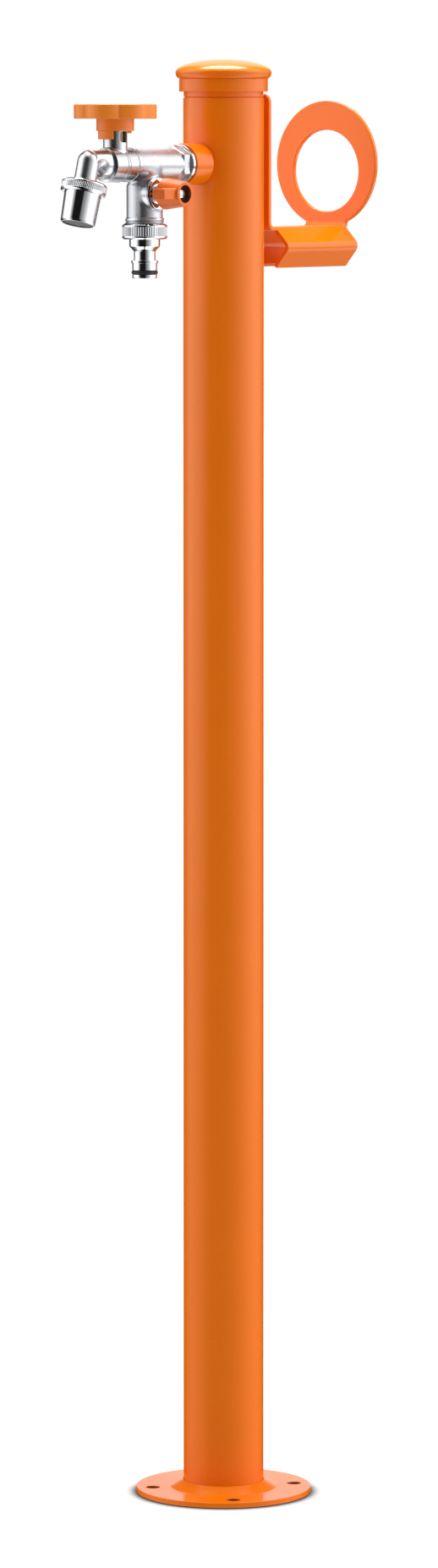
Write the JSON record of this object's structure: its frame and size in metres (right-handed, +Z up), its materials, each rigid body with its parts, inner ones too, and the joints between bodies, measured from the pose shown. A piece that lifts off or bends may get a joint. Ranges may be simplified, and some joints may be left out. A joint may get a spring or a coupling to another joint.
{
  "type": "garden water post",
  "caption": "Round orange steel post on a bolted flange, with a double ball tap, hose connector, aerated spout and a bent sheet hook for a hose.",
  "frame": {"origin": "centre of the base flange's underside, on the post's axis, which is also the centre of the floor bolts' circle", "axes": "+Z up along the post, -Y along the tap towards its spout, +Y towards the hose hook, +X along the side knob's axis away from the tap"},
  "size_m": [0.12, 0.2801, 0.9823],
  "materials": {
    "post_paint": "semi-matt orange powder coat with fine texture",
    "polished_chrome": "bright chrome plate on turned brass",
    "cast_chrome": "satin chrome plate on a slightly pebbly casting",
    "wheel_plastic": "moulded plastic, yellowish orange, fine grain",
    "knob_plastic": "moulded plastic, reddish orange",
    "black_rubber": "matt moulded rubber",
    "seat_plastic": "white low-friction plastic",
    "dark_plastic": "dark grey moulded plastic",
    "pipe_plastic": "grey plastic pressure pipe",
    "bare_brass": "machined brass",
    "screw_steel": "zinc plated steel",
    "mesh_steel": "woven wire mesh",
    "fibre": "pressed red fibre gasket"
  },
  "bodies": {
    "post": {"base_flange": "post_paint", "post_tube": "post_paint", "post_cap": "post_paint", "cap_o_ring": "black_rubber", "outlet_boss": "post_paint", "hose_hook": "post_paint", "foot_spacer": "dark_plastic", "inlet_socket": "bare_brass", "lower_pipe_nut": "bare_brass", "riser_pipe": "pipe_plastic", "upper_pipe_nut": "bare_brass", "riser_elbow": "bare_brass", "inlet_gasket": "fibre", "lock_ring": "polished_chrome", "tap_body": "cast_chrome", "front_valve_body": "cast_chrome", "front_ball_seats": "seat_plastic", "stem_gland": "bare_brass", "spout": "polished_chrome", "aerator_washer": "black_rubber", "aerator_nut": "polished_chrome", "aerator_housing": "polished_chrome", "aerator_mesh": "mesh_steel", "branch_ball_seats": "seat_plastic", "branch_bonnet": "polished_chrome", "hose_washer": "black_rubber", "hose_connector": "polished_chrome", "connector_o_ring": "black_rubber"},
    "wheel": {"handwheel": "wheel_plastic", "handwheel_screw": "screw_steel", "front_stem": "bare_brass", "front_stem_o_ring": "black_rubber", "front_ball": "polished_chrome"},
    "knob": {"branch_knob": "knob_plastic", "branch_knob_screw": "screw_steel", "branch_stem": "bare_brass", "branch_stem_o_ring": "black_rubber", "branch_ball": "polished_chrome"}
  },
  "joints": [
    {"name": "wheel_turn", "type": "hinge", "parent": "post", "child": "wheel", "pos_m": [0, -0.1146, 0.9342], "axis": [0, 0, 1], "range_deg": [0, 90]},
    {"name": "knob_turn", "type": "hinge", "parent": "post", "child": "knob", "pos_m": [0.0183, -0.084, 0.8922], "axis": [1, 0, 0], "range_deg": [0, 90]}
  ]
}
